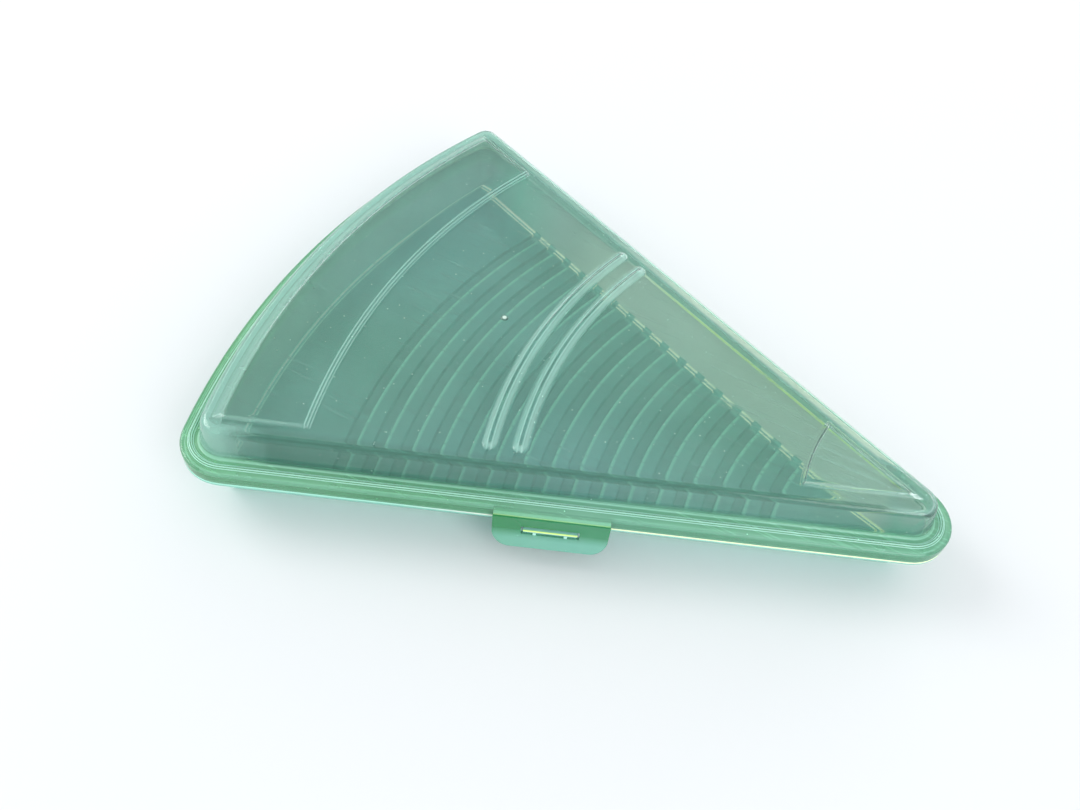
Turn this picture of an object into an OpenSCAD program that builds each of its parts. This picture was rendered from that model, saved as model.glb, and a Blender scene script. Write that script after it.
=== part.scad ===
// Clamshell container for one slice of pizza, moulded in one piece of translucent plastic:
// a tray with a ribbed floor, a domed lid on a living hinge along one straight side, and a
// latch flap on a second living hinge along the other side.
// Frame: +Z up, the tray stands on z = 0, the crust edge faces -X, the slice's point +X,
// the latch side -Y and the hinge side +Y. The origin is the middle of the closed case.

/* [Slice outline] */
// radius of the rim's crust edge, from the slice's sharp point, mm
slice_r = 240; // [200:1:280]
// angle between the two straight sides, degrees
slice_angle = 45; // [38:1:52]
// rounding of the rim at the slice's point, mm
tip_round = 13; // [11:0.5:16]
// rounding of the rim's corner at the hinge side, mm
hinge_corner = 6; // [3:0.5:14]
// rounding of walls and dome at the hinge side's corner, measured at the rim, mm
wall_corner = 11.5; // [11:0.5:16]
// rounding of the rim's corner at the latch side, mm
latch_corner = 14; // [11:0.5:20]
// thickness of the moulded walls, mm
wall = 1.2; // [1:0.1:1.4]

/* [Tray] */
// how far the floor's edge lies inside the rim, mm
floor_inset = 10; // [8:0.5:12]
// height of the tray's rim above the table, mm
rim_top = 16.5; // [14:0.5:20]
// thickness of the rim's plate, mm
rim_plate = 1.1; // [0.8:0.1:1.4]
// height of the locating lip above the rim, mm
lip_rise = 2.6; // [1.8:0.1:2.7]
// how far the floor's planks rise above the grooves between them, mm
plank_rise = 1.1; // [0.6:0.1:1.4]
// radial spacing of the grooves, mm
groove_pitch = 8.53; // [7:0.01:10]
// width of one groove, mm
groove_w = 3.6; // [2.4:0.1:4.2]
// number of grooves
groove_count = 16; // [8:1:16]
// inner radius of the groove nearest the crust, mm
groove_first = 196; // [180:1:205]

/* [Lid] */
// height of the lid's skirt, mm
skirt_h = 3.9; // [3:0.1:4.5]
// how high the dome stands above the lid's flange, mm
dome_h = 9.4; // [6:0.1:14]
// width of the flange around the dome, mm
flange_w = 5.4; // [4.8:0.1:6]
// how far the dome's top edge leans in from its foot, mm
dome_lean = 1.8; // [1:0.1:2.6]
// height of the bead on the flange, mm
bead_h = 0.5; // [0.2:0.1:0.8]

/* [Lid relief] */
// how far the raised panels stand above the dome's top, mm
panel_h = 1.2; // [0.6:0.1:1.6]
// how far the ends of panels and ridges lie inside the rim, mm
relief_inset = 12.4; // [11.5:0.1:15]
// inner radius of the crust panel, mm
crust_panel_r = 201.6; // [190:0.1:210]
// radius of the tip panel's round edge, mm
tip_panel_r = 66; // [55:0.5:75]
// radius of the outer one of the two round ridges, mm
ridge_r = 152.1; // [130:0.1:180]
// width of one ridge, mm
ridge_w = 5; // [3:0.1:5.6]
// height of one ridge, mm
ridge_h = 1.6; // [0.8:0.1:2]

/* [Latch] */
// distance of the latch's middle from the slice's sharp point, along the side, mm
latch_at = 131.8; // [100:0.1:160]
// width of the flap, mm
flap_w = 33; // [28:0.5:44]
// height of the flap's lower edge above the table, mm
flap_bottom = 6.6; // [4:0.1:8]
// rounding of the flap's lower corners, mm
flap_round = 5; // [3:0.5:5.5]
// width of the tray's catch tongue, mm
tongue_w = 15.4; // [12:0.1:18]

/* [Hinge] */
// thickness of both living hinges, mm
web_t = 0.45; // [0.35:0.05:0.5]
// where the lid's hinge starts, measured from the sharp point along the side, mm
hinge_from = 38; // [34:1:60]
// where the lid's hinge ends, mm
hinge_to = 226; // [190:1:228]

/* [Hidden] */
$fn = 96;
plastic = [0.45, 0.78, 0.62, 0.6];
half = slice_angle / 2;
floor_top = wall + plank_rise;
edge = 0.3;                   // size of the small bevels along rim and skirt
skirt_gap = 0.2;              // clearance between the tray's rim and the lid's skirt
skirt_bottom = rim_top + skirt_gap;
lid_rim = skirt_bottom + skirt_h;
dome_top = lid_rim + dome_h;
lip_top = rim_top + lip_rise;
lip_in = flange_w + 0.2;
bend = 1;                     // how far the hinge lines lie outside the rim
flap_z0 = lid_rim - 1;        // height of the latch's hinge line
flap_top = flap_z0 - 0.5;
flap_in = 0.6;                // gap between the rim and the flap's inner face
flap_t = 1.1;
curl = 6;                     // radius of the inner face of the flap's pull lip
sweep = 48;                   // how far the lip turns out, degrees
tab_in = 0.9;                 // how far the latch's tab reaches into the skirt, and out of it
tab_out = 0.5;
tab_t = 0.7;
tongue_top = rim_top - 2.1;
tongue_out = 2.5;
tongue_t = 1;
gusset_gap = 8.8;             // spacing of the two gussets under the tongue
gusset_t = 1;
gusset_h = 1.6;
apron_low = 2.8;              // how far the tongue's apron reaches below the tongue's top
slot_play = 0.6;              // room at each end of the tongue in the flap's slot
slot_z = [tongue_top - 3.1, tongue_top + 0.8];
ridges = [ridge_r, ridge_r - groove_pitch];
bead_in = [2.4, 3.8];         // how far the bead's two feet lie inside the rim
step = 0.02;                  // the rounded corners stand this little inside the straight walls
gate_r = 165.3;               // the injection gate's mark, on the middle line

tip_x = tip_round / sin(half) - tip_round;
function corner_turn(r) = half - asin(r / (slice_r - r));
function corner_y(r) = (slice_r - r) * sin(corner_turn(r)) + r;
apex = [(slice_r + tip_x) / 2, (corner_y(latch_corner) - corner_y(hinge_corner)) / 2];

// points of an arc
function arc(c, r, a0, a1, n) = [for (i = [0 : n]) let (a = a0 + (a1 - a0) * i / n) c + r * [cos(a), sin(a)]];

// half-space with the profile as its face along one side, and a round one for the crust edge
module side_space(profile) rotate([90, 0, 90]) translate([0, 0, -40]) linear_extrude(slice_r + 60)
    polygon(concat([[-slice_r, profile[0][1]]], [for (q = profile) [-q[0], q[1]]],
                   [[-slice_r, profile[len(profile) - 1][1]]]));
module crust_space(profile) rotate_extrude($fn = 360)
    polygon(concat([[0, profile[0][1]]], [for (q = profile) [slice_r - q[0], q[1]]],
                   [[0, profile[len(profile) - 1][1]]]));

// a corner between a straight side and the crust edge: centre, first and last direction, radius
function crust_corner(r, side) = let (a = corner_turn(r), c = (slice_r - r) * [-cos(a), side * sin(a)])
    side > 0 ? [c, 90 - half, 180 - a, r] : [c, 180 + a, 270 + half, r];
tip_corner = [[-tip_round / sin(half), 0], half - 90, 90 - half, tip_round];

// wedge that opens outwards from a corner's centre
module corner_wedge(c) {
    reach = 1.1 * c[3] / pow(cos((c[2] - c[1]) / 2), 2);
    u = [cos(c[1]), sin(c[1])];
    v = [cos(c[2]), sin(c[2])];
    translate([0, 0, -dome_top]) linear_extrude(3 * dome_top)
        polygon([c[0], c[0] + reach * u, c[0] + reach * (u + v), c[0] + reach * v]);
}

// slice-shaped solid: the profile of [inset, z] runs round all three edges, from the lowest level up;
// round is the hinge side's corner, measured at the rim, and every inset stays below the corners' radii
module slice_solid(profile, round) {
    corners = [tip_corner, crust_corner(round, 1), crust_corner(latch_corner, -1)];
    difference() {
        intersection() {
            crust_space(profile);
            latch_side() side_space(profile);
            hinge_side() side_space(profile);
        }
        for (c = corners) corner_wedge(c);
    }
    for (c = corners) intersection() {
        translate(c[0]) rotate_extrude() polygon(concat([[0, profile[0][1]]],
            [for (q = profile) [c[3] - q[0] - step, q[1]]], [[0, profile[len(profile) - 1][1]]]));
        corner_wedge(c);
    }
}

// frame whose x runs along the latch side from the sharp point and whose y points out of the case
module latch_side() rotate([0, 0, 180 + half]) children();

// the same on the hinge side
module hinge_side() rotate([0, 0, 180 - half]) mirror([0, 1, 0]) children();

// everything is drawn with the sharp point at the origin, then moved to the case's middle
module placed() translate([apex.x, apex.y, 0]) children();

// upright band between two radii, its ends d inside the rim
module band(r0, r1, d, z0, z1) intersection() {
    translate([0, 0, z0]) difference() {
        cylinder(r = r1, h = z1 - z0, $fn = 360);
        translate([0, 0, -1]) cylinder(r = r0, h = z1 - z0 + 2, $fn = 360);
    }
    latch_side() side_space([[d, z0 - 1], [d, z1 + 1]]);
    hinge_side() side_space([[d, z0 - 1], [d, z1 + 1]]);
}

/* The tray: sloping walls, a flat rim with a locating lip, and a floor of raised planks between
   arc-shaped grooves that run round the slice's point. The catch tongue stands out of the rim. */
module base_tray() color(plastic) placed() difference() {
    difference() {
        tray_shell();
        for (i = [0 : groove_count - 1]) groove(groove_first - i * groove_pitch);
    }
    underside();
}

module tray_shell() {
    outer = floor_inset - 1.5;
    difference() {
        union() {
            slice_solid([[floor_inset + 0.6, 0], [floor_inset - 0.5, 0.4], [outer + 0.3, 1.4], [outer, 2.6],
                [lip_in - wall, lip_top]], wall_corner);
            slice_solid([[edge, rim_top - rim_plate], [0, rim_top - rim_plate + edge], [0, rim_top - edge],
                [edge, rim_top]], hinge_corner);
            catch();
        }
        slice_solid([[floor_inset + 0.9, floor_top], [floor_inset + 0.2, floor_top + 0.2],
            [floor_inset - 0.2, floor_top + 0.9], [floor_inset - 0.35, floor_top + 1.5],
            [lip_in, lip_top], [lip_in - 0.2, lip_top + 1]], wall_corner);
    }
}

module groove(r) band(r, r + groove_w, floor_inset + 0.4, wall, floor_top + 1);

// shallow hollows under the planks and under the flat crust end keep the floor one wall thick
module underside() {
    side = floor_inset + 3;
    band(groove_first + groove_w + wall, slice_r - side, side, -1, plank_rise);
    for (i = [1 : groove_count - 1]) {
        r = groove_first - i * groove_pitch + groove_w;
        band(r + wall, r + groove_pitch - groove_w - wall, side, -1, plank_rise);
    }
}

// tongue on two gussets, on an apron that hangs from the rim
module catch() latch_side() translate([latch_at, 0, 0]) {
    apron = tongue_w + 5;
    translate([-apron / 2, -wall, tongue_top - apron_low])
        cube([apron, wall - 0.05, rim_top - rim_plate / 2 - tongue_top + apron_low]);
    translate([-tongue_w / 2, -wall, tongue_top - tongue_t]) cube([tongue_w, wall + tongue_out, tongue_t]);
    for (s = [-1, 1]) translate([(s * gusset_gap - gusset_t) / 2, 0, tongue_top - tongue_t])
        rotate([90, 0, 90]) linear_extrude(gusset_t) polygon([[-0.3, 0.2], [tongue_out - 0.4, 0.2],
            [tongue_out - 0.4, 0], [-0.05, -gusset_h], [-0.3, -gusset_h]]);
}

/* The lid: a skirt round the rim, a flat flange with a bead, and a dome with raised panels at the
   crust and at the point, two half-round ridges between them, and a tab for the latch's hinge. */
module lid() color(plastic) placed() {
    foot = flange_w;
    top = flange_w + dome_lean;
    under = lid_rim - wall;
    inner = dome_top - wall;
    difference() {
        union() {
            slice_solid([[edge, skirt_bottom], [0, skirt_bottom + edge], [0, lid_rim - 0.8],
                [0.25, lid_rim - 0.25], [0.8, lid_rim]], hinge_corner);
            bead();
            slice_solid([[foot - 0.4, under + 0.3], [foot - 0.4, lid_rim], [foot, lid_rim + 0.2],
                [foot + 0.3, lid_rim + 0.8], [top, dome_top - 1.4], [top + 0.3, dome_top - 0.6],
                [top + 0.8, dome_top - 0.15], [top + 1.6, dome_top]], wall_corner);
            crust_panel(dome_top - 0.4, panel_h + 0.4, 0);
            tip_panel(dome_top - 0.4, panel_h + 0.4, 0);
            for (r = ridges) ridge(r, dome_top, 0);
            translate([-gate_r, 0, dome_top - 0.1]) cylinder(r = 1.1, h = 0.35, $fn = 32);
            latch_tab();
        }
        slice_solid([[1.1, skirt_bottom - 1], [1.1, under - 0.3], [1.4, under]], hinge_corner);
        slice_solid([[foot + 0.9, under - 0.5], [foot + 0.9, under], [foot + 1.5, under + 0.8],
            [top + wall, inner - 1], [top + wall + 0.3, inner - 0.3], [top + wall + 1, inner]], wall_corner);
        crust_panel(inner - 0.4, panel_h + 0.4, wall / 2);
        tip_panel(inner - 0.4, panel_h + 0.4, wall / 2);
        for (r = ridges) ridge(r, inner, wall * 0.7);
    }
}

// low bead that runs round the flange
module bead() {
    a = bead_in[0];
    b = bead_in[1];
    shoulder = lid_rim + bead_h * 0.7;
    difference() {
        slice_solid([[a, lid_rim - 0.3], [a, lid_rim], [a + 0.25, shoulder], [a + 0.6, lid_rim + bead_h]],
            hinge_corner);
        slice_solid([[b, lid_rim - 0.4], [b, lid_rim], [b - 0.25, shoulder], [b - 0.6, lid_rim + bead_h],
            [b - 0.6, lid_rim + bead_h + 1]], hinge_corner);
    }
}

// raised plates along the crust and over the slice's point; shrink makes the matching hollows inside
module crust_panel(z, h, shrink)
    band(crust_panel_r + shrink, slice_r - relief_inset + 1.8 - shrink, relief_inset + shrink, z, z + h);
module tip_panel(z, h, shrink) intersection() {
    translate([0, 0, z]) cylinder(r = tip_panel_r - shrink, h = h, $fn = 360);
    latch_side() side_space([[relief_inset + shrink, z - 1], [relief_inset + shrink, z + h + 1]]);
    hinge_side() side_space([[relief_inset + shrink, z - 1], [relief_inset + shrink, z + h + 1]]);
}

// round-backed ridge along an arc, with round ends; thin makes the hollow inside
module ridge(r, z, thin) {
    w = ridge_w / 2 - thin;
    h = ridge_h - thin * 0.3;
    turn = half - asin((relief_inset + ridge_w / 2) / r);
    translate([0, 0, z]) {
        rotate([0, 0, 180 - turn]) rotate_extrude(angle = 2 * turn, $fn = 360)
            polygon([[r - w, -0.4], [r - w, 0], [r - w * 0.8, h * 0.6], [r - w * 0.42, h * 0.92], [r, h],
                [r + w * 0.42, h * 0.92], [r + w * 0.8, h * 0.6], [r + w, 0], [r + w, -0.4]]);
        for (a = [-turn, turn]) rotate([0, 0, 180 + a]) translate([r, 0, 0]) scale(0.98)
            rotate_extrude($fn = 48) polygon([[0, -0.39], [w, -0.39], [w, 0], [w * 0.8, h * 0.6],
                [w * 0.42, h * 0.92], [0, h]]);
    }
}

module latch_tab() latch_side() translate([latch_at - flap_w / 2, -tab_in, flap_z0 + 0.05])
    cube([flap_w, tab_in + tab_out, tab_t]);

/* Living hinge of the lid: a thin web bowed outwards between the two rims along one straight side. */
module lid_hinge() color(plastic) placed() hinge_side() {
    z0 = rim_top - 0.8;
    z1 = skirt_bottom + 0.9;
    o = bend + web_t;
    translate([hinge_from, 0, 0]) rotate([90, 0, 90]) linear_extrude(hinge_to - hinge_from)
        polygon([[0, z0], [o - 0.5, z0], [o, z0 + 0.5], [o, z1 - 0.5], [o - 0.5, z1], [0, z1],
            [0, z1 - web_t], [o - 0.7, z1 - web_t], [bend, z1 - 0.75], [bend, z0 + 0.75],
            [o - 0.7, z0 + web_t], [0, z0 + web_t]]);
}

/* The latch flap: hangs from the lid's tab, is slotted for the tongue, and its lower edge curls out. */
module latch_flap() color(plastic) placed() latch_side() translate([latch_at, 0, 0]) {
    lip_z = flap_bottom + (curl + flap_t) * sin(sweep);
    c = [flap_in + flap_t + curl, lip_z];
    difference() {
        intersection() {
            translate([-flap_w / 2, 0, 0]) rotate([90, 0, 90]) linear_extrude(flap_w)
                polygon(concat([[flap_in + flap_t, flap_top], [flap_in, flap_top]],
                    arc(c, curl + flap_t, 180, 180 + sweep, 6), arc(c, curl, 180 + sweep, 180, 6)));
            rotate([90, 0, 0]) translate([0, 0, -12]) linear_extrude(12) {
                translate([-flap_w / 2, flap_bottom + flap_round]) square([flap_w, flap_top - flap_bottom]);
                translate([-flap_w / 2 + flap_round, flap_bottom - 2]) square([flap_w - 2 * flap_round, 9]);
                for (s = [-1, 1]) translate([s * (flap_w / 2 - flap_round), flap_bottom + flap_round])
                    circle(flap_round, $fn = 48);
            }
        }
        translate([-tongue_w / 2 - slot_play, 0, slot_z[0]])
            cube([tongue_w + 2 * slot_play, flap_in + flap_t + 1, slot_z[1] - slot_z[0]]);
    }
}

/* Living hinge of the latch: a thin web round the tab's edge. */
module latch_hinge() color(plastic) placed() latch_side() translate([latch_at - flap_w / 2, 0, 0]) {
    o = bend + 0.25;
    rotate([90, 0, 90]) linear_extrude(flap_w)
        polygon([[tab_out, flap_z0 + 0.65], [o - 0.4, flap_z0 + 0.65], [o, flap_z0 + 0.25], [o, flap_top],
            [o - web_t, flap_top], [o - web_t, flap_z0 + 0.1], [0.7, flap_z0 + 0.2],
            [tab_out, flap_z0 + 0.2]]);
}

base_tray();
lid();
lid_hinge();
latch_flap();
latch_hinge();
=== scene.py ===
# A clamshell container for one slice of pizza, closed, in translucent green plastic.
# Lengths are in millimetres and become metres where a mesh, a line or the camera is set.
import math

import bmesh
import bpy
import numpy as np
from mathutils import Matrix, Vector


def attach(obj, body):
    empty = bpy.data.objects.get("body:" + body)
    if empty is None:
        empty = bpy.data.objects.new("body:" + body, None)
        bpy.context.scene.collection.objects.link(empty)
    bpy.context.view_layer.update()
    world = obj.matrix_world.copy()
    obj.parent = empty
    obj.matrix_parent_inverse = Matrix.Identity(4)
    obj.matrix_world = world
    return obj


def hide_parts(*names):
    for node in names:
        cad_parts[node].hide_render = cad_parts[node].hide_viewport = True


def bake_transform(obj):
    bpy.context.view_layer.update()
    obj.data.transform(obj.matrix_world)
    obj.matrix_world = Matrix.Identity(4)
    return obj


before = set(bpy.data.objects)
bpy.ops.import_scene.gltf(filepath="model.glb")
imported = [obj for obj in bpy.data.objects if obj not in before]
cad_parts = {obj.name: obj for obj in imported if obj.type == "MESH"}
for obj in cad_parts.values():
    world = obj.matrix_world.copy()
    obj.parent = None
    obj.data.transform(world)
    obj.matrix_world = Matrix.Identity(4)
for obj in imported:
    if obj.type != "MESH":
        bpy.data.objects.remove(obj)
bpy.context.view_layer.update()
scene = bpy.context.scene
scene.view_settings.view_transform = "Standard"

# Camera: hand-held above the latch side, turned a little past the case's long axis. The slice's
# sharp point, where its straight sides would meet, is the point that the whole case is laid out from.
RIM_R, HALF = 240.0, math.radians(22.5)         # the rim's crust edge, half the slice's angle
# corner roundings: at the point, at the latch side, and of rim and walls at the hinge side
TIP_ROUND, LATCH_ROUND, RIM_ROUND, WALL_ROUND = 13.0, 14.0, 6.0, 11.5


def corner_turn(r):
    """Angle from the long axis to the centre of a crust corner rounded by r."""
    return HALF - math.asin(r / (RIM_R - r))


def corner_y(r):
    """How far that corner reaches to the side."""
    return (RIM_R - r) * math.sin(corner_turn(r)) + r


POINT = Vector(((RIM_R + TIP_ROUND / math.sin(HALF) - TIP_ROUND) / 2,
                (corner_y(LATCH_ROUND) - corner_y(RIM_ROUND)) / 2, 0.0))
AZIMUTH, ELEVATION, ROLL = 0.392, 0.895, 0.115  # radians
AIM_RANGE, FOCAL_PX, FRAME_PX, SENSOR = 296.3, 986.0, 1080.0, 36.0
back = Vector((math.sin(AZIMUTH) * math.cos(ELEVATION), -math.cos(AZIMUTH) * math.cos(ELEVATION),
               math.sin(ELEVATION)))
aim = Vector((-142.7, -18.0, 20.6)) + POINT
camera = bpy.data.objects.new("Camera", bpy.data.cameras.new("Camera"))
scene.collection.objects.link(camera)
camera.data.sensor_width = SENSOR
camera.data.lens = FOCAL_PX / FRAME_PX * SENSOR
camera.location = (aim + back * AIM_RANGE) / 1000
upright_view = (-back).to_track_quat("-Z", "Y")
right, up = upright_view @ Vector((1, 0, 0)), upright_view @ Vector((0, 1, 0))
picture_x = math.cos(ROLL) * right + math.sin(ROLL) * up
picture_y = -math.sin(ROLL) * right + math.cos(ROLL) * up
camera.rotation_mode = "QUATERNION"
camera.rotation_quaternion = Matrix((picture_x, picture_y, back)).transposed().to_quaternion()
camera.data.clip_start, camera.data.clip_end = 0.01, 20.0
scene.camera = camera


# Table and light: a pale matt sheet under the case in a white room. A soft window stands at its left,
# a fill at its right and a low strip beyond the hinge side, all outside the picture.
class Sock:
    """A shader value; operators on it add Math nodes."""

    def __init__(self, tree, link):
        self.tree, self.link = tree, link

    def math(self, kind, *others):
        """A Math node on this value and the others."""
        return node(self.tree, "ShaderNodeMath", {"operation": kind}, dict(enumerate((self, *others))))

    def __add__(self, other):
        return self.math("ADD", other)

    def __sub__(self, other):
        return self.math("SUBTRACT", other)

    def __rsub__(self, other):
        return (self * -1.0).math("ADD", other)

    def __mul__(self, other):
        return self.math("MULTIPLY", other)

    def __truediv__(self, other):
        return self.math("DIVIDE", other)

    def __gt__(self, other):
        return self.math("GREATER_THAN", other)

    def __lt__(self, other):
        return self.math("LESS_THAN", other)

    __radd__, __rmul__ = __add__, __mul__

    def clamp(self, lo=0.0, hi=1.0):
        """The value kept between lo and hi."""
        return self.math("MAXIMUM", lo).math("MINIMUM", hi)


def node(tree, kind, settings=None, sockets=None, out=0):
    """Adds a node, sets it up, fills or links its sockets, and returns one output."""
    n = tree.nodes.new(kind)
    for k, v in (settings or {}).items():
        if k == "ramp":
            for i, (pos, col) in enumerate(v):
                e = n.color_ramp.elements[i] if i < 2 else n.color_ramp.elements.new(pos)
                e.position, e.color = pos, (*col, 1.0)
        else:
            setattr(n, k, v)
    for k, v in (sockets or {}).items():
        if isinstance(v, Sock):
            tree.links.new(v.link, n.inputs[k])
        else:
            n.inputs[k].default_value = v
    return Sock(tree, n.outputs[out]) if n.outputs else n


def mix_colour(tree, factor, a, b):
    """A colour between a and b."""
    return node(tree, "ShaderNodeMix", {"data_type": "RGBA"}, {0: factor, 6: a, 7: b}, out=2)


def new_material(name):
    """An empty material and its node tree."""
    m = bpy.data.materials.new(name)
    m.use_nodes = True
    m.node_tree.nodes.clear()
    return m, m.node_tree


def grown(tree, scale, detail=3.0, rough=0.5):
    """Smooth noise in object space."""
    place = node(tree, "ShaderNodeTexCoord", out=3)
    return node(tree, "ShaderNodeTexNoise", {}, {"Vector": place, "Scale": scale, "Detail": detail,
                                                 "Roughness": rough})


sheet_material, t = new_material("pale_sheet")
tint = mix_colour(t, grown(t, 3.0), (0.80, 0.805, 0.81, 1), (0.83, 0.83, 0.83, 1))
shade = node(t, "ShaderNodeBsdfPrincipled", {}, {"Base Color": tint, "Roughness": 0.7})
node(t, "ShaderNodeOutputMaterial", {}, {"Surface": shade})
bpy.ops.mesh.primitive_grid_add(size=8.0, x_subdivisions=8, y_subdivisions=8, location=(0, 0, 0))
table = bpy.context.object
table.name = "table_sheet"
table.location.z = -0.0002                      # a hair below the case's feet
table.data.materials.append(sheet_material)

world = bpy.data.worlds.new("room")
scene.world = world
world.use_nodes = True
t = world.node_tree
t.nodes.clear()
look = node(t, "ShaderNodeTexCoord")
height = node(t, "ShaderNodeSeparateXYZ", {}, {0: look}, out=2)
room = node(t, "ShaderNodeValToRGB", {"ramp": [
    (0.0, (0.9, 0.93, 0.95)), (0.45, (0.85, 0.89, 0.92)), (0.75, (0.56, 0.6, 0.63)),
    (1.0, (0.7, 0.74, 0.76))]}, {0: height})
back_drop = node(t, "ShaderNodeBackground", {}, {"Color": room, "Strength": 1.15})
node(t, "ShaderNodeOutputWorld", {}, {"Surface": back_drop})


def lamp(name, place, size, power):
    """A soft rectangular lamp that faces the case; place and size in metres."""
    light = bpy.data.lights.new(name, "AREA")
    light.shape, light.size, light.size_y, light.energy = "RECTANGLE", size[0], size[1], power
    o = bpy.data.objects.new(name, light)
    scene.collection.objects.link(o)
    o.location = place
    o.rotation_mode = "QUATERNION"
    o.rotation_quaternion = (-Vector(place)).to_track_quat("-Z", "Y")


lamp("soft_window", (-1.3, -0.1, 1.0), (0.9, 0.9), 10.0)
lamp("soft_fill", (1.2, -0.7, 1.1), (0.9, 0.9), 8.0)
lamp("far_strip", (0.1, 1.5, 0.35), (1.6, 0.35), 6.0)

# Tray: half of one injection moulding in translucent green plastic, about 1.2 mm thick. Its floor has
# raised planks between arc-shaped grooves, its walls slope out to a flat rim, a lip above the rim
# locates the lid, and a tongue on the latch side takes the flap's slot.
LATCH_ALONG = np.array([-math.cos(HALF), -math.sin(HALF)])      # from the sharp point along the side
LATCH_OUT = np.array([math.sin(HALF), -math.cos(HALF)])         # and out from that side
HINGE_ALONG, HINGE_OUT = LATCH_ALONG * [1, -1], LATCH_OUT * [1, -1]
ORIGIN = np.array([POINT.x, POINT.y])


def arc(c, r, a0, a1, n):
    """n points on a circle about c, from angle a0 to a1."""
    a = np.linspace(a0, a1, n)
    return np.array(c) + r * np.stack([np.cos(a), np.sin(a)], 1)


def outline(d, hinge_round, stops):
    """Closed loop a distance d inside the rim, with the same number of points for every d. stops are
    distances from the sharp point along both straight sides."""
    LEAST = 0.25                                # a corner whose rounding has run out keeps this one
    TIP_POINTS, CORNER_POINTS, CRUST_POINTS = 9, 13, 91

    def crust_corner(r0, side):
        a = corner_turn(r0)
        c = (RIM_R - r0) * np.array([-math.cos(a), side * math.sin(a)])
        r = r0 - d
        if r < LEAST:
            lo = RIM_R - d - LEAST
            a = HALF - math.asin((d + LEAST) / lo)
            c, r = lo * np.array([-math.cos(a), side * math.sin(a)]), LEAST
        return c, r, a

    cl, rl, al = crust_corner(LATCH_ROUND, -1)
    ch, rh, ah = crust_corner(hinge_round, 1)
    ct, rt = np.array([-TIP_ROUND / math.sin(HALF), 0.0]), TIP_ROUND - d
    if rt < LEAST:
        ct, rt = np.array([-(d + LEAST) / math.sin(HALF), 0.0]), LEAST
    facing = math.pi / 2 - HALF                 # the angle that the hinge side faces
    tip_a = arc(ct, rt, 0, -facing, TIP_POINTS)
    latch = arc(cl, rl, 2 * math.pi - facing, math.pi + al, CORNER_POINTS)
    crust = arc((0, 0), RIM_R - d, math.pi + al, math.pi - ah, CRUST_POINTS)
    hinge = arc(ch, rh, math.pi - ah, facing, CORNER_POINTS)
    tip_b = arc(ct, rt, facing, 0, TIP_POINTS)
    low = np.outer(stops, LATCH_ALONG) - d * LATCH_OUT
    high = np.outer(stops[::-1], HINGE_ALONG) - d * HINGE_OUT
    loop = [tip_a, low, latch, crust[1:-1], hinge, high, tip_b[:-1]]
    return np.concatenate(loop) + ORIGIN


def eased(corners, n=4):
    """Rounds the corners of an open [inset, z, radius] line, with n steps to a rounding. Returns rows
    of [inset, z, 1 on a rounding]."""
    pts = [np.array(c[:2], float) for c in corners]
    out = [(*pts[0], 0)]
    for i in range(1, len(pts) - 1):
        if not corners[i][2]:
            out.append((*pts[i], 0))
            continue
        p, a, b = pts[i], pts[i - 1] - pts[i], pts[i + 1] - pts[i]
        la, lb = np.linalg.norm(a), np.linalg.norm(b)
        a, b = a / la, b / lb
        half = math.acos(max(-1.0, min(1.0, float(a @ b)))) / 2
        reach = min(corners[i][2] / math.tan(half), *(side * (0.48 if corners[k][2] else 0.95)
                                                      for side, k in ((la, i - 1), (lb, i + 1))))
        r = reach * math.tan(half)
        c = p + (a + b) / np.linalg.norm(a + b) * (r / math.sin(half))
        s, e = p + a * reach - c, p + b * reach - c
        swing = math.atan2(s[0] * e[1] - s[1] * e[0], float(s @ e))
        for k in range(n + 1):
            w = swing * k / n
            out.append((c[0] + s[0] * math.cos(w) - s[1] * math.sin(w),
                        c[1] + s[0] * math.sin(w) + s[1] * math.cos(w), float(0 < k < n)))
    out.append((*pts[-1], 0))
    return np.array(out)


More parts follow.
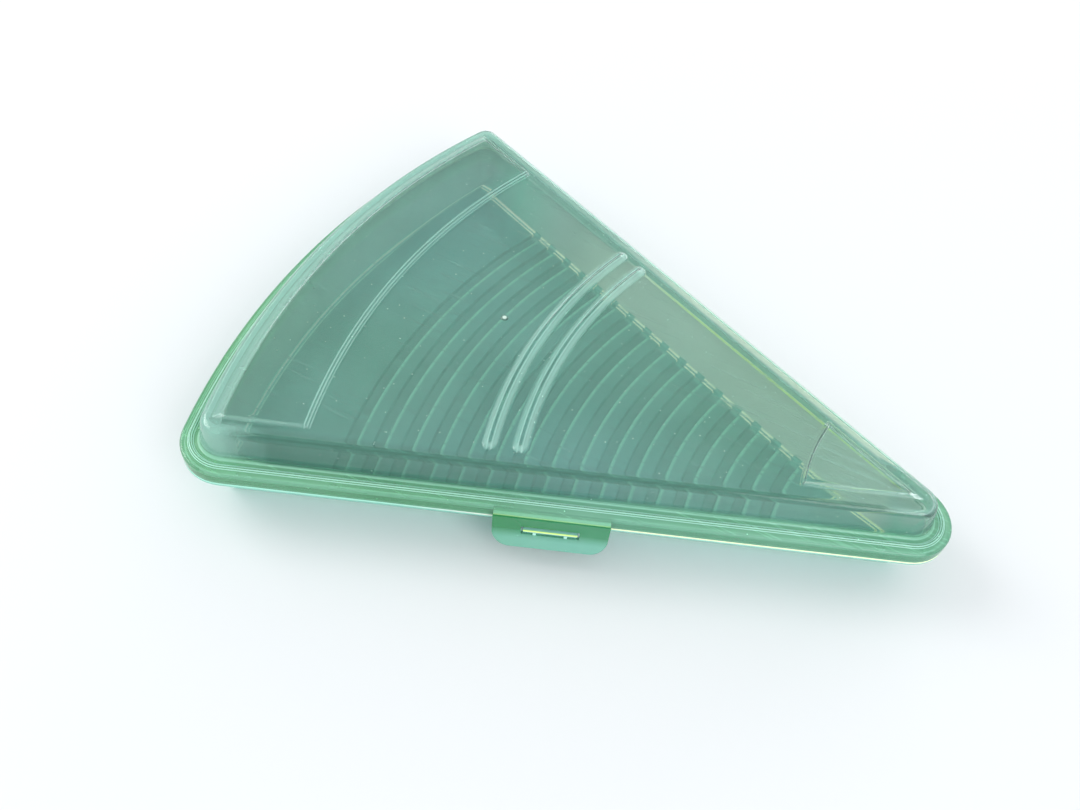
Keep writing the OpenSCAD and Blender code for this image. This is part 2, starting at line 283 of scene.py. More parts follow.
class Shell:
    """Collects the points and faces of one closed moulding."""

    def __init__(self):
        self.v, self.f, self.fold, self.n = [], [], [], 0

    def add(self, pts, fold=0.0):
        """Adds points with the light painted on them: 0 none, 1 a painted mint glint, 1.5 pale, 2 warm
        white, 3 yellow-green, and less than 0 a painted darker green for shade."""
        self.v.append(np.asarray(pts, float))
        self.fold.append(np.broadcast_to(np.asarray(fold, float), len(pts)))
        first, self.n = self.n, self.n + len(pts)
        return list(range(first, self.n))

    def rings(self, profile, round_of, stops, tone):
        """Sweeps the profile round the case and returns the first and last loops. round_of(d, z) is the
        hinge side's rounding. tone gives the painted highlight or shade of a point from its inset d, its
        height z, the profile's third value (a painted glint of 1 on a rounding) and its spot, spot being
        its distance from the sharp point and its place across the case."""
        first = last = None
        for d, z, fold in profile:
            loop = outline(d, round_of(d, z), stops)
            spots = loop - ORIGIN
            ids = self.add(np.column_stack([loop, np.full(len(loop), z)]),
                           [tone(d, z, fold, (math.hypot(*q), q[1])) for q in spots])
            if last:
                n = len(ids)
                self.f += [(last[i], last[(i + 1) % n], ids[(i + 1) % n], ids[i]) for i in range(n)]
            first, last = first or ids, ids
        return first, last

    def cap(self, ring, rows, edge, height, flip, tip, painted_bright=lambda r, w, dr, dw, far: 0.0):
        """A relief face inside the loop ring: rows are radii, columns run from side to side, edge lists
        insets near the sides, and tip counts the rows from the first radius to the point. height(r, w)
        is z at radius r and at w inside the nearest side, and the last argument, called with (r, w,
        dz/dr, dz/dw, far), gives the painted highlight or shade there, far being the hinge half."""
        COLUMNS = 84

        def fold(r, w, far):
            e = 0.06                                            # step for the slopes
            return painted_bright(r, w, (height(r + e, w) - height(r - e, w)) / (2 * e),
                          (height(r, w + e) - height(r, w - e)) / (2 * e), far)

        grid = []
        for r in rows:
            a_edge = [HALF - math.asin(w / r) for w in edge]
            mid = np.linspace(-a_edge[-1], a_edge[-1], COLUMNS)[1:-1]
            ang = [-a for a in a_edge] + list(mid) + a_edge[::-1]       # latch side to hinge side
            w = np.array([r * math.sin(HALF - abs(a)) for a in ang])
            z = [height(r, x) for x in w]
            x, y = -r * np.cos(ang), r * np.sin(ang)
            grid.append(self.add(np.column_stack([x + ORIGIN[0], y + ORIGIN[1], z]),
                                 [fold(r, q, a > 0) for q, a in zip(w, ang)]))
        faces = []
        for a, b in zip(grid, grid[1:]):
            faces += [(a[j], b[j], b[j + 1], a[j + 1]) for j in range(len(a) - 1)]
        r0, m = rows[0], len(edge)
        legs = []
        for w in edge:
            s1, s0 = math.sqrt(r0 * r0 - w * w), w / math.tan(HALF)
            s = np.linspace(s1, s0, tip + 1)[1:]
            low = s[:, None] * LATCH_ALONG - w * LATCH_OUT
            high = s[:-1, None] * HINGE_ALONG - w * HINGE_OUT
            pts = np.concatenate([low, high[::-1]]) + ORIGIN
            rr = np.hypot(*(pts - ORIGIN).T)
            legs.append(self.add(np.column_stack([pts, [height(q, w) for q in rr]]),
                                 [fold(q, w, k >= tip) for k, q in enumerate(rr)]))
        for j, leg in enumerate(legs):
            legs[j] = [grid[0][j]] + leg + [grid[0][-1 - j]]
        for a, b in zip(legs, legs[1:]):
            faces += [(a[i], b[i], b[i + 1], a[i + 1]) for i in range(len(a) - 1)]
        faces.append(tuple(legs[-1][1:-1] + [grid[0][-m]] + grid[0][m:-m][::-1] + [grid[0][m - 1]]))
        start = legs[0]
        # the grid's border in the ring's own sense: tip, latch side, crust, hinge side
        mid = len(start) // 2
        border = (start[:mid + 1][::-1] + [g[0] for g in grid[1:]] + grid[-1][1:]
                  + [g[-1] for g in grid[-2::-1]] + start[mid + 1:-1][::-1])
        faces += self.stitch(ring, border)
        self.f += [tuple(reversed(f)) for f in faces] if flip else faces

    def stitch(self, outer, inner):
        """Triangles between two loops on one flat, always across the shorter diagonal."""
        p = np.concatenate(self.v)
        i = j = 0
        no, ni = len(outer), len(inner)
        out = []
        while i < no or j < ni:
            o, n = outer[i % no], inner[j % ni]
            o2, n2 = outer[(i + 1) % no], inner[(j + 1) % ni]
            step_o = np.linalg.norm(p[o2] - p[n]) if i < no else math.inf
            step_n = np.linalg.norm(p[n2] - p[o]) if j < ni else math.inf
            if step_o <= step_n:
                out.append((o, o2, n))
                i += 1
            else:
                out.append((o, n2, n))
                j += 1
        return out

    def extra(self, verts, faces, fold=0.0):
        """Adds a closed body that reaches into the moulding."""
        first = self.add(verts, fold)[0]
        self.f += [tuple(first + i for i in f) for f in faces]

    def object(self, name, smooth=32.0):
        """The finished piece, smooth but for edges sharper than so many degrees."""
        mesh = bpy.data.meshes.new(name)
        v = np.concatenate(self.v) / 1000
        mesh.from_pydata(v.tolist(), [], self.f)
        # each point's painted highlight or shade, read by the material
        mesh.attributes.new("fold", "FLOAT", "POINT").data.foreach_set("value", np.concatenate(self.fold))
        bm = bmesh.new()
        bm.from_mesh(mesh)
        bmesh.ops.remove_doubles(bm, verts=bm.verts, dist=1e-7)
        bmesh.ops.recalc_face_normals(bm, faces=bm.faces)
        bm.to_mesh(mesh)
        bm.free()
        mesh.shade_smooth()
        mesh.set_sharp_from_angle(angle=math.radians(smooth))
        o = bpy.data.objects.new(name, mesh)
        scene.collection.objects.link(o)
        return o


def ramp(x, a, b):
    """0 at a, 1 at b, an S between."""
    t = min(1.0, max(0.0, (x - a) / (b - a)))
    return t * t * (3 - 2 * t)


def rounded_box(lo, hi, r):
    """Points and faces of a box with its edges rounded by r."""
    bm = bmesh.new()
    bmesh.ops.create_cube(bm, size=1.0)
    for v in bm.verts:
        v.co = Vector([lo[k] if v.co[k] < 0 else hi[k] for k in range(3)])
    bmesh.ops.bevel(bm, geom=list(bm.edges), offset=r, segments=3, profile=0.5, affect="EDGES")
    verts = [tuple(v.co) for v in bm.verts]
    faces = [tuple(v.index for v in f.verts) for f in bm.faces]
    bm.free()
    return verts, faces


def beside_latch(verts):
    """From [along, out, z] beside the latch side to the case's own frame."""
    v = np.array(verts, float)
    xy = v[:, :1] * LATCH_ALONG + v[:, 1:2] * LATCH_OUT + ORIGIN
    return np.column_stack([xy, v[:, 2]])


def beside_hinge(verts):
    """The same beside the hinge side."""
    v = np.array(verts, float)
    xy = v[:, :1] * HINGE_ALONG + v[:, 1:2] * HINGE_OUT + ORIGIN
    return np.column_stack([xy, v[:, 2]])


PLANK_EDGES = [196.0 - 8.53 * i for i in range(16)]     # radius where each groove starts
GROOVE_W = 3.6
FLOOR_TOP, GROOVE_Z = 2.3, 1.2
FOOT_R, FOOT_AT = 1.5, 11.2                     # the rounded foot of the walls and its inset


def floor_height(r, w):
    """Planks stand 1.1 mm above the grooves; at the wall both end in a rounded foot."""
    dip = max(ramp(r, e - 0.12, e + 0.42) - ramp(r, e + GROOVE_W - 0.42, e + GROOVE_W + 0.12)
              for e in PLANK_EDGES)
    w = min(w, RIM_R - r)
    rise = FOOT_R - math.sqrt(FOOT_R ** 2 - min(FOOT_AT - w, FOOT_R) ** 2) if w < FOOT_AT else 0.0
    return FLOOR_TOP + rise - (FLOOR_TOP - GROOVE_Z) * dip * ramp(w, 10.35, 10.95)


def under_height(r, w):
    """Hollows under the planks keep the floor one wall thick."""
    up = max(ramp(r, e - 3.7, e - 3.3) - ramp(r, e - 1.6, e - 1.2) for e in PLANK_EDGES)
    up = max(up, ramp(r, 200.8, 201.2) - ramp(r, 225.6, 226.0))
    return (FLOOR_TOP - GROOVE_Z) * up * ramp(w, 13.2, 13.9)


# radii of the mesh's rows: close together where the floor bends
floor_rows = [56.0, 61.0, 66.0]
under_rows = [56.0]
for e in PLANK_EDGES[::-1]:
    floor_rows += [e + x for x in (-1.4, -1.1, -0.85, -0.6, -0.35, -0.12, 0.06, 0.24, 0.42, 0.6)]
    floor_rows += [e + GROOVE_W + x for x in (-0.6, -0.42, -0.24, -0.06, 0.12, 0.3)]
    under_rows += [e + x for x in (-3.8, -3.7, -3.5, -3.3, -3.2, -1.7, -1.6, -1.4, -1.2, -1.1)]
floor_rows += [206.0, 214.0, 222.0, 227.0, 228.8, 229.1, 229.4, 229.65, 229.85, 230.05, 230.25]
under_rows += [200.7, 200.8, 201.0, 201.2, 201.3, 213.0, 225.5, 225.6, 225.8, 226.0, 226.1, 227.2]


def painted_plank_light(r, w, dr, dw, far):
    """Painted light on the floor: a painted highlight along each plank's edge nearer the crust, painted
    shade in the groove beyond, and the wall's rounded foot painted as two fine highlight lines, broken at
    the far side by the grooves into bright dashes; by the near wall the grooves get painted shade."""
    edge = sum(0.85 * ramp(r, e - 1.4, e - 0.5) - 1.0 * ramp(r, e - 0.05, e + 0.3)
               + 0.15 * ramp(r, e + 2.4, e + GROOVE_W + 0.3) for e in PLANK_EDGES)
    w = min(w, RIM_R - r)
    if w > 11.4:
        return edge
    groove = any(e - 0.1 < r < e + GROOVE_W - 0.3 for e in PLANK_EDGES)
    # the two painted highlight lines, up to 10.25 mm inside the rim and about 11 mm
    lines = 0.5 if w < 9.8 else 1.0 if w < 10.25 or 10.75 < w < 11.15 else 0.0
    if w == RIM_R - r:
        return 1.5 * lines
    if not far:
        return -0.3 if groove else 0.3 * lines
    return 0.3 if groove else lines * (2.5 if r < 66 else 2.2 if r < 205 else 2.0)


CRUST_FROM, FAR_TO = 222, 226                   # radii where the crust wall starts, the far wall ends


def painted_wall_light(d, z, fold, spot):
    """Painted light on the tray's walls: the far wall is painted paler, as if facing the light, and palest
    towards the point; the rim's outer edge gets a painted yellower highlight there too."""
    r, across = spot
    if d < 0.6 and z < 16.6:
        return (2.4 - 1.2 * ramp(r, 120, 180)) * fold
    inside = z > 3 and d > 5.9 + 0.25 * (15.4 - z)
    if not inside or r > FAR_TO:
        return fold
    return max(fold, (1.7 - 0.7 * ramp(r, 165, 225)) * ramp(across, 0, 6))


tray = Shell()
tray_line = eased([
    (10.9, 0.0, 0), (9.15, 0.0, 2.0), (5.32, 15.4, 0.3), (0.0, 15.4, 0.35), (0.0, 16.5, 0.35),
    (5.05, 16.5, 0.25), (4.4, 19.1, 0.4), (5.6, 19.1, 0.4), (9.62, 3.93, 0), (9.75, 3.43, 0)])
# where the grooves' edges meet the middle of the foot, so that wall and floor share their columns
FOOT_MID_SQUARED = 110
groove_ends = [math.sqrt((e + x) ** 2 - FOOT_MID_SQUARED) for e in PLANK_EDGES[::-1]
               for x in (-0.2, 0.2, GROOVE_W - 0.2, GROOVE_W + 0.2)]
under_ring, floor_ring = tray.rings(
    tray_line, lambda d, z: RIM_ROUND if d < 0.6 or (d < 5 and z == 16.5) else WALL_ROUND,
    [40, 48, 58] + groove_ends + [204, 210], painted_wall_light)
foot_steps = [9.751, 9.85, 10.0, 10.2, 10.35, 10.5, 10.65, 10.8, 10.95, 11.1, 11.35, 12.6]
tray.cap(floor_ring, floor_rows, foot_steps, floor_height, flip=True, tip=9, painted_bright=painted_plank_light)
tray.cap(under_ring, under_rows, [13.1, 13.2, 13.5, 13.8, 14.0], under_height, flip=False, tip=9)

LATCH_AT = 131.8                                # the latch's middle, along its side
for lo, hi, r, fold in (                        # apron, tongue, its outer edge painted as a bright line, two gussets painted pale
        ((-10.2, -1.2, 11.6), (10.2, -0.06, 16.0), 0.2, 0.0),
        ((-7.7, -1.0, 13.4), (7.7, 2.4, 14.35), 0.25, 0.0),
        ((-7.7, 2.1, 14.06), (7.7, 2.5, 14.4), 0.12, 3.0),
        ((-4.9, -0.5, 11.9), (-3.9, 2.2, 13.6), 0.2, 1.2),
        ((3.9, -0.5, 11.9), (4.9, 2.2, 13.6), 0.2, 1.2)):
    verts, faces = rounded_box((lo[0] + LATCH_AT, *lo[1:]), (hi[0] + LATCH_AT, *hi[1:]), r)
    tray.extra(beside_latch(verts), faces, fold)
tray_piece = tray.object("tray_moulding")


def plastic(name, clear, levels, rough, wear, glint=(0.5, 0.9, 0.62), painted_light_gain=0.6):
    """Injection-moulded translucent plastic: a clear tint and a milky one, mixed. levels lists (height
    in mm, milkiness, milky colour). The mix also grows where light is painted on the mesh: painted
    highlights coloured by glint, as strong as the last argument and glowing where brightest, and painted
    shade in a darker green. The tint drifts with the flow of the melt, and wear is how much the hair
    scratches show beside orange peel and specks of dust."""
    TOP = 32.0                                  # height in mm that the ramps over z end at
    m, t = new_material(name)
    place = node(t, "ShaderNodeTexCoord", out=3)
    level = node(t, "ShaderNodeSeparateXYZ", {}, {0: place}, out=2) * (1000.0 / TOP)
    haze = node(t, "ShaderNodeValToRGB", {"ramp": [(z / TOP, (h, h, h)) for z, h, c in levels]}, {0: level})
    milk = node(t, "ShaderNodeValToRGB", {"ramp": [(z / TOP, c) for z, h, c in levels]}, {0: level})
    # the painted highlight or shade that the mesh carries at each point
    fold = node(t, "ShaderNodeAttribute", {"attribute_name": "fold"}, out=2)
    cloud = grown(t, 22.0, 4.0, 0.55)
    drift = ((cloud - 0.5) * 1.2).clamp(-0.5, 0.5)
    milk = node(t, "ShaderNodeHueSaturation", {}, {
        "Hue": 0.5 + (grown(t, 11.0, 1.0) - 0.45) * 0.12, "Saturation": 1.0 - drift * 0.35,
        "Value": 1.0 + drift * 0.5, "Color": milk})
    # painted highlight colours: a mint glint, then pale, warm white and a yellow-green sunlit line
    painted_bright = node(t, "ShaderNodeValToRGB", {"ramp": [
        (0.36, glint), (0.49, (0.82, 0.98, 0.9)), (0.66, (0.98, 1.0, 0.82)),
        (1.0, (0.74, 0.97, 0.3))]}, {0: fold / 3.0})
    milk = mix_colour(t, (fold * painted_light_gain).clamp(), milk, painted_bright)
    # painted shade: a darker green where the painted value is below 0
    milk = mix_colour(t, (fold * -2.0).clamp(), milk, (0.07, 0.22, 0.16, 1))
    sheer = mix_colour(t, cloud, (*[c * 0.95 for c in clear], 1), (*clear, 1))
    streak_map = node(t, "ShaderNodeMapping", {}, {"Vector": place, "Rotation": (0, 0, 0.5),
                                                   "Scale": (30, 900, 200)})
    streak = node(t, "ShaderNodeTexNoise", {}, {"Vector": streak_map, "Scale": 1.0, "Detail": 2.0})
    cross_map = node(t, "ShaderNodeMapping", {}, {"Vector": place, "Rotation": (0, 0, -0.9),
                                                  "Scale": (40, 1500, 300)})
    cross = node(t, "ShaderNodeTexNoise", {}, {"Vector": cross_map, "Scale": 1.0, "Detail": 1.0})
    # the point's end is worn most
    worn = ((node(t, "ShaderNodeSeparateXYZ", {}, {0: place}, out=0) - 0.01) * 14.0).clamp()
    upward = node(t, "ShaderNodeSeparateXYZ", {}, {0: node(t, "ShaderNodeTexCoord", out=1)}, out=2)
    flat = ((upward.math("ABSOLUTE") - 0.6) * 3.0).clamp()      # walls keep no hair scratches
    scratch = ((streak + worn * 0.07 > 0.69) + (cross + worn * 0.075 > 0.70)).clamp() * flat * wear
    dust = node(t, "ShaderNodeTexVoronoi", {}, {"Vector": place, "Scale": 260.0})
    speck = dust < 0.05
    gloss = rough + cloud * 0.06 + scratch * 0.22 + speck * 0.4
    peel = grown(t, 420.0, 2.0, 0.5)
    relief = cloud * 0.6 + peel * 0.05 - scratch * 0.12 + speck * 0.5
    bump = node(t, "ShaderNodeBump", {}, {"Strength": 0.12, "Distance": 0.0004, "Height": relief})
    glassy = node(t, "ShaderNodeBsdfPrincipled", {}, {
        "Base Color": sheer, "Roughness": gloss * 0.6, "IOR": 1.5, "Transmission Weight": 1.0,
        "Normal": bump})
    # painted glow: the brightest painted highlights also give off light, though the plastic is no lamp
    painted_glow = mix_colour(t, ((fold - 1.6) * 2.0).clamp(), (0.0, 0.0, 0.0, 1), painted_bright)
    cloudy = node(t, "ShaderNodeBsdfPrincipled", {}, {
        "Base Color": milk, "Roughness": gloss, "IOR": 1.5, "Transmission Weight": 0.12, "Normal": bump,
        "Emission Color": painted_glow, "Emission Strength": 0.3})
    # the milky share grows with height, with painted light of either kind, and at specks and scratches
    share = (haze + fold.math("ABSOLUTE") * painted_light_gain * 0.5 + speck * 0.3 + scratch * 0.14).clamp()
    skin = node(t, "ShaderNodeMixShader", {}, {0: share, 1: glassy, 2: cloudy})
    node(t, "ShaderNodeOutputMaterial", {}, {"Surface": skin})
    return m


TEAL, PALE, MINT = (0.25, 0.71, 0.62), (0.36, 0.72, 0.62), (0.34, 0.86, 0.48)
tray_piece.data.materials.append(plastic("tray_plastic", (0.62, 0.86, 0.78), [
    (0, 0.8, TEAL), (2.6, 0.8, TEAL), (4.5, 0.8, PALE), (13, 0.8, PALE),
    (15.2, 0.88, (0.34, 0.76, 0.58)), (20, 0.85, PALE)], 0.12, 0.4, (0.42, 1.0, 0.8), 0.9))
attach(tray_piece, "base")
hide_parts("base_tray")

# Lid: the other half of the same moulding, in the same plastic. A skirt hides the tray's rim, a flange
# with a low bead carries the dome, and the dome's top has a plate along the crust, one over the point
# and two round ridges. A tab over the latch side carries the flap.
DOME_TOP, UNDER_TOP = 30.0, 28.8
CRUST_PLATE, TIP_PLATE_R = (201.6, 229.4), 66.0
BEVEL, CRUST_BEVEL = 2.3, 3.4                   # the crust plate's, towards the point and the crust
RIDGES, RIDGE_HALF = (152.1, 143.6), 2.5        # radii of the two ridges, half their width
PLATE_UP, RIDGE_UP, RELIEF_FROM = 1.2, 1.55, 12.6       # heights above the top, inset of their ends
CUTTER, STREAK = 0.42, 0.77                     # pitch of the cutter's marks and of the painted highlight streaks
TAB_HALF = 16.5                                 # half the length of the flap's tab


def round_and_round(r, pitch):
    """Waves across the bevel towards the point."""
    return math.sin((r - CRUST_PLATE[0]) * 2 * math.pi / pitch)


def painted_dome_light(r, w, dr, dw, far):
    """Painted highlights: bevels and ridges are painted paler than the flat top, most of all on the far
    half, and the crust plate's bevel towards the point gets painted streaks.
    """
    on_relief = w > RELIEF_FROM
    if any(abs(r - c) < 2.8 for c in RIDGES):
        inner = 0.9 if on_relief and any(0.5 < abs(r - c) < 0.8 for c in RIDGES) else 0.0
        return max(inner, min(0.9, 0.75 * math.hypot(dr, dw)))
    if CRUST_PLATE[0] < r < CRUST_PLATE[0] + BEVEL and on_relief:
        return 0.5 + 0.45 * round_and_round(r, STREAK)
    if r > CRUST_PLATE[1] - CRUST_BEVEL:
        return 0.6
    side = abs(dw) * (0.9 if far else 0.3)
    return min(1.0, side if r < 100 else 1.1 * math.hypot(dr, side))


def painted_rim_light(d, z, fold, spot):
    """Painted light on the lid: the dome's far and crust walls are painted pale, as if light passed
    through them, with a painted sunlit line along the far foot towards the point; the near wall and the
    near edge of the top get painted shade, least at the point. Elsewhere the roundings keep their painted
    glints, dimmed at the dome's foot and turned to faint painted shade on the flange's outer top edge."""
    r, across = spot
    far, crust = across > 8 and r < FAR_TO, r > CRUST_FROM
    near = 0.0 if far or crust else ramp(r, 30, 210)
    to_point = ramp(r, 175, 120)
    if 6.2 < d < 7.2 and 19.5 < z < 21.3 and far:               # the far foot's painted sunlit line
        return 1.1 + 1.8 * to_point
    if 4.8 < d < 8.0 and z < 21.6 and far:
        return 1.1
    if 20.9 < z < 29.4 and d > 5:                               # the dome's walls
        inside = d > 6.3 + 0.2 * (z - 20.6)
        if far:
            return 1.3 + 0.5 * to_point if inside else 0.3
        if crust:
            return 1.1 if inside else 0.5
        # the near wall: painted shade, darkest on the rounding into the top
        return -0.5 - 0.6 * near if fold and z > 28 else -0.45 * near
    if z > 29.4:                                                # the top's rounded edge
        if crust:
            return 0.6
        return 0.9 * fold if far else 0.5 * fold if r < 40 else -1.0 * fold
    if 5 < d < 7 and z > 20:                                    # the dome's foot
        return 0.5 * fold
    return -0.2 * fold if d < 1 and z > 19.5 else fold


def dome_relief(r, w, grow):
    """How far the relief stands above the dome's top; grow, below 0, narrows it for the lower face."""
    side = ramp(w, 12.4 - grow, 13.5 - grow)
    crust = ramp(r, CRUST_PLATE[0] - grow, CRUST_PLATE[0] + BEVEL - grow) \
        - ramp(r, CRUST_PLATE[1] - CRUST_BEVEL + grow, CRUST_PLATE[1] + grow)
    tip = 1 - ramp(r, TIP_PLATE_R - 1.0 + grow, TIP_PLATE_R + grow)
    z = PLATE_UP * max(crust, tip) * side
    ridge_up = RIDGE_UP if grow == 0 else PLATE_UP
    for c in RIDGES:
        across = abs(r - c)
        end = max(0.0, RELIEF_FROM + RIDGE_HALF - w)        # how far past the round end's centre
        z = max(z, ridge_up * ramp(math.hypot(across, end), RIDGE_HALF + grow, 0.3))
    if CRUST_PLATE[0] + 0.2 < r < CRUST_PLATE[0] + BEVEL - 0.15 and grow == 0:
        z += 0.03 * round_and_round(r, CUTTER) * side
    return z


# radii of the mesh's rows, close together over bevels and ridges
plate_rows = [40.0, 46.0, 54.0, 60.0, 64.4, 64.7, 65.0, 65.25, 65.5, 65.75, 66.0, 66.3,
              72, 84, 96, 108, 120, 132]
ridge_steps = [0.3, 0.55, 0.75, 0.95, 1.2, 1.5, 1.8, 2.05, 2.3, 2.5, 2.8]
for c in RIDGES[::-1]:
    plate_rows += [c - x for x in ridge_steps[::-1]] + [c] + [c + x for x in ridge_steps]
plate_rows += [162, 174, 186, 196, 201.3, 201.6] + [201.8 + CUTTER / 4 * k for k in range(20)]
plate_rows += [203.95, 204.3, 210, 218, 224, 225.2, 225.7, 226.2, 226.7, 227.2, 227.7, 228.2, 228.6,
               229.0, 229.4, 229.6]
plate_edge = [12.2, 12.4, 12.6, 12.85, 13.1, 13.3, 13.5, 13.8, 14.4, 15.0, 15.4]

lid = Shell()
lid_line = eased([
    (10.1, 28.8, 0), (8.6, 28.8, 0.5), (7.16, 21.5, 0), (7.1, 21.2, 0), (6.74, 19.4, 0.9),
    (1.15, 19.4, 0.5), (1.1, 16.7, 0.3), (0.0, 16.7, 0.3), (0.0, 20.6, 0.75), (2.35, 20.6, 0.3),
    (2.75, 21.12, 0.4), (3.45, 21.12, 0.4), (3.85, 20.6, 0.3), (5.53, 20.6, 0.8), (7.49, 30.0, 2.3),
    (10.1, 30.0, 0)], 6)
under_dome, over_dome = lid.rings(
    lid_line, lambda d, z: RIM_ROUND if d < 4.6 else WALL_ROUND, np.linspace(38, 212, 36), painted_rim_light)
lid.cap(over_dome, plate_rows, plate_edge, lambda r, w: DOME_TOP + dome_relief(r, w, 0.0),
        flip=False, tip=14, painted_bright=painted_dome_light)
lid.cap(under_dome, plate_rows, plate_edge, lambda r, w: UNDER_TOP + dome_relief(r, w, -0.55),
        flip=True, tip=14)
# the gate's mark, a low ring left where the plastic entered the mould
GATE_R, TURNS = 165.3, 24
gate = [(1.25, -0.1), (1.2, 0.1), (1.0, 0.24), (0.75, 0.22), (0.6, 0.08)]
ring_a = np.linspace(0, 2 * math.pi, TURNS, endpoint=False)
verts = [(r * math.cos(a) - GATE_R + ORIGIN[0], r * math.sin(a) + ORIGIN[1], DOME_TOP + z)
         for r, z in gate for a in ring_a]
faces = [(k + i, k + (i + 1) % TURNS, k + TURNS + (i + 1) % TURNS, k + TURNS + i)
         for k in range(0, TURNS * (len(gate) - 1), TURNS) for i in range(TURNS)]
faces += [tuple(range(TURNS))[::-1], tuple(range(TURNS * (len(gate) - 1), TURNS * len(gate)))]
# its outer side painted darker and its inner edge painted as a bright highlight
lid.extra(verts, faces, np.repeat([-0.4, -0.4, -0.3, 0.3, 1.6], TURNS))
verts, faces = rounded_box((LATCH_AT - TAB_HALF, -0.9, 19.65), (LATCH_AT + TAB_HALF, 0.5, 20.35), 0.2)
lid.extra(beside_latch(verts), faces)
lid_piece = lid.object("lid_moulding")
SKIRT_GREEN, FILM = (0.13, 0.46, 0.22), (0.34, 0.63, 0.53)
lid_piece.data.materials.append(plastic("lid_plastic", (0.88, 0.97, 0.92), [
    (16.5, 0.6, SKIRT_GREEN), (19.6, 0.6, SKIRT_GREEN), (20.5, 0.42, MINT), (21.2, 0.38, MINT),
    (21.8, 0.14, FILM), (28.6, 0.12, FILM), (31.5, 0.12, FILM)], 0.05, 0.8, (0.55, 0.93, 0.8), 0.9))
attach(lid_piece, "lid")
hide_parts("lid")

# Lid hinge: a living hinge, a web of the same moulding 0.45 mm thick that both rims run into on the far
# straight side. It bows outwards when the case is shut and spans the gap when it is open.
web = [(0.0, 15.7), (0.95, 15.7), (1.32, 15.85), (1.45, 16.2), (1.45, 17.1), (1.32, 17.45),
       (0.95, 17.6), (0.0, 17.6), (0.0, 17.15), (0.75, 17.15), (0.95, 17.05), (1.0, 16.85),
       (1.0, 16.45), (0.95, 16.25), (0.75, 16.15), (0.0, 16.15)]
WEB_FROM, WEB_TO = 38, 226


def strip(shell, line, stations, place):
    """Sweeps a closed [out, z] line along a straight side; each station is [along, scale]."""
    loops = [shell.add(place([(s, y * k, z) for y, z in line])) for s, k in stations]
    n = len(line)
    for a, b in zip(loops, loops[1:]):
        shell.f += [(a[i], a[(i + 1) % n], b[(i + 1) % n], b[i]) for i in range(n)]
    shell.f += [tuple(loops[0][::-1]), tuple(loops[-1])]


hinge = Shell()
along = [(s, 1) for s in range(WEB_FROM + 6, WEB_TO - 4, 6)]
strip(hinge, web, [(WEB_FROM, 0.8), (WEB_FROM + 0.4, 1)] + along + [(WEB_TO - 0.4, 1), (WEB_TO, 0.8)],
      beside_hinge)
hinge_piece = hinge.object("lid_hinge_web", 50)
hinge_piece.data.materials.append(plastic("hinge_plastic", (0.7, 0.95, 0.78), [
    (15, 0.5, MINT), (18, 0.5, PALE)], 0.12, 0.3))
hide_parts("lid_hinge")
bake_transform(hinge_piece)

# Latch flap: a small plate of the same moulding that hangs from the lid's tab on its own thin hinge.
# The slot snaps over the tray's tongue, and the lower edge curls outwards for a fingertip.
FLAP_W, FLAP_IN, FLAP_T, FLAP_TOP, FLAP_LOW = 33.0, 0.6, 1.1, 19.1, 6.6
CURL, SWEEP = 6.0, math.radians(48)             # radius and turn of the curled lip
CORNER = 5.0                                    # rounding of the lip's two corners
lip_c = (FLAP_IN + FLAP_T + CURL, FLAP_LOW + (CURL + FLAP_T) * math.sin(SWEEP))
SLOT_HALF, SLOT_Z = 8.3, (11.3, 15.2)


def flap_line(t, back_face):
    """[out, z] at distance t from the top, along the middle of the flap."""
    straight = FLAP_TOP - lip_c[1]
    r = CURL + FLAP_T if back_face else CURL
    if t <= straight:
        return (FLAP_IN if back_face else FLAP_IN + FLAP_T, FLAP_TOP - t)
    a = min((t - straight) / (CURL + FLAP_T / 2), SWEEP)
    return (lip_c[0] - r * math.cos(a), lip_c[1] - r * math.sin(a))


length = FLAP_TOP - lip_c[1] + SWEEP * (CURL + FLAP_T / 2)
xs = sorted({side * x for side in (-1, 1) for x in
             (0, 2, 4, 6, 7.6, 8.0, 8.3, 8.7, 10, 11.5, 12.3, 13.2, 14.1, 14.9, 15.5, 15.95, 16.25,
              16.42, 16.5)})
ts = [0, 0.5, 1.2, 2.4, 3.5, 3.9, 4.3, 5.5, 6.5, 7.4, 7.8, 8.2] + list(np.linspace(8.8, length, 14))
STRAIGHT = 8.5                                  # below this the rows draw in for the rounded corners
flap = Shell()
sheets = []
for back_face in (False, True):
    rows = []
    for x in xs:
        over = max(0.0, abs(x) - (FLAP_W / 2 - CORNER))
        cut = CORNER - math.sqrt(max(0.0, CORNER * CORNER - over * over))
        drawn_in = (length - cut - STRAIGHT) / (length - STRAIGHT)
        rows.append(flap.add(beside_latch([
            (LATCH_AT + x, *flap_line(min(t, STRAIGHT) + max(0.0, t - STRAIGHT) * drawn_in, back_face))
            for t in ts])))
    sheets.append(rows)
front, rear = sheets
cells = {}                                      # the grid's cells, less those of the slot
for i in range(len(xs) - 1):
    for j in range(len(ts) - 1):
        xm, zm = (xs[i] + xs[i + 1]) / 2, FLAP_TOP - (ts[j] + ts[j + 1]) / 2
        if not (abs(xm) < SLOT_HALF and SLOT_Z[0] < zm < SLOT_Z[1]):
            cells[i, j] = True
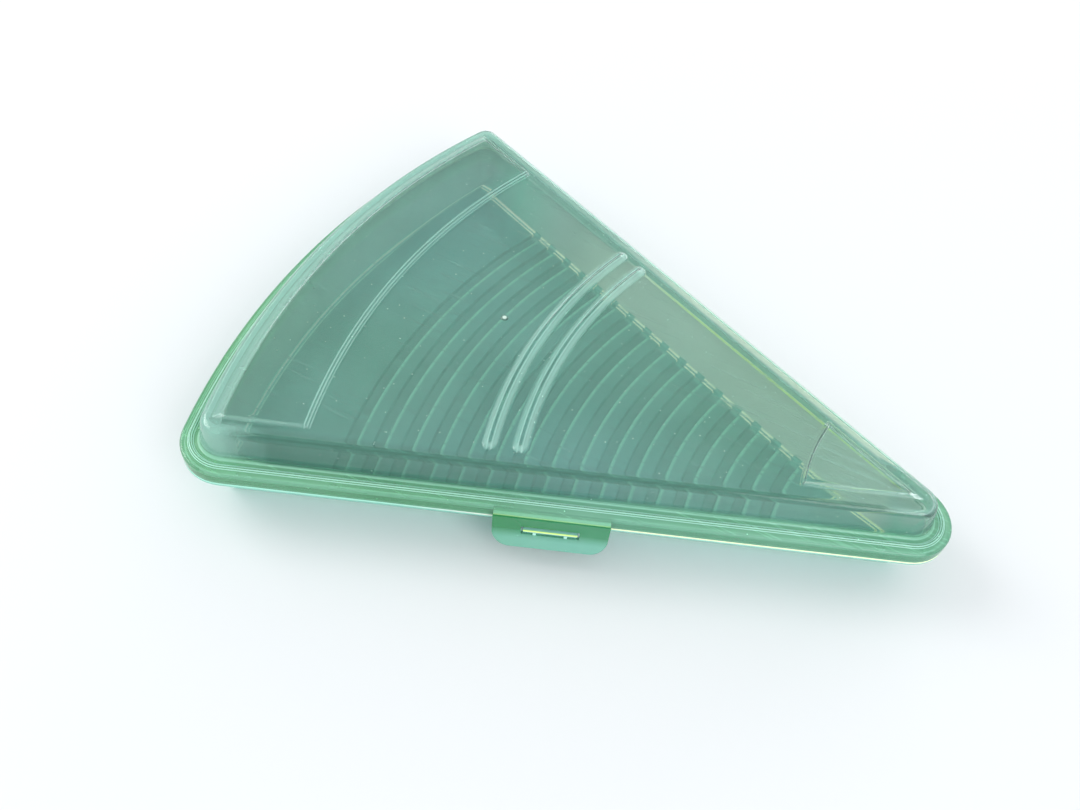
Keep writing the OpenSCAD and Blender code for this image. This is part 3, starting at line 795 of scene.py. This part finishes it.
for i, j in cells:
    flap.f.append((front[i][j], front[i + 1][j], front[i + 1][j + 1], front[i][j + 1]))
    flap.f.append((rear[i][j], rear[i][j + 1], rear[i + 1][j + 1], rear[i + 1][j]))
    for (di, dj), (p, q) in {(-1, 0): ((i, j), (i, j + 1)), (1, 0): ((i + 1, j + 1), (i + 1, j)),
                             (0, -1): ((i + 1, j), (i, j)), (0, 1): ((i, j + 1), (i + 1, j + 1))}.items():
        if (i + di, j + dj) not in cells:
            flap.f.append((front[p[0]][p[1]], front[q[0]][q[1]], rear[q[0]][q[1]], rear[p[0]][p[1]]))
flap_piece = flap.object("latch_flap_moulding", 40)
soft = flap_piece.modifiers.new("soft_edges", "BEVEL")
soft.width, soft.segments = 0.00028, 3
soft.limit_method, soft.angle_limit = "ANGLE", math.radians(50)
FERN, LEAF = (0.035, 0.34, 0.09), (0.26, 0.66, 0.46)
flap_piece.data.materials.append(plastic("latch_plastic", (0.6, 0.9, 0.7), [
    (6, 0.7, LEAF), (9.5, 0.7, LEAF), (13.5, 0.75, FERN), (20, 0.75, FERN)], 0.1, 0.5))
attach(flap_piece, "latch")
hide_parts("latch_flap")

# Latch hinge: a second living hinge, as thin as the first and of the same moulding. It wraps the edge
# of the lid's tab and runs down into the flap's top.
bridge = [(0.5, 20.25), (0.85, 20.25), (1.1, 20.12), (1.25, 19.85), (1.25, 19.1), (0.8, 19.1),
          (0.8, 19.7), (0.7, 19.8), (0.5, 19.8)]
BRIDGE_HALF = 16.4                              # half the length of the web
bend = Shell()
strip(bend, bridge, [(LATCH_AT + x, 1) for x in np.linspace(-BRIDGE_HALF, BRIDGE_HALF, 12)], beside_latch)
bend_piece = bend.object("latch_hinge_web", 60)
# the web's lower leg, running into the flap's top, is painted as a bright lime highlight line
PAINTED_LIME = (0.5, 0.9, 0.4)
bend_piece.data.materials.append(plastic("latch_hinge_plastic", (0.8, 0.95, 0.7), [
    (19, 0.75, PAINTED_LIME), (19.7, 0.75, PAINTED_LIME), (19.9, 0.6, (0.3, 0.76, 0.44)), (20.4, 0.6, MINT)], 0.1, 0.2))
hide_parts("latch_hinge")
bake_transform(bend_piece)
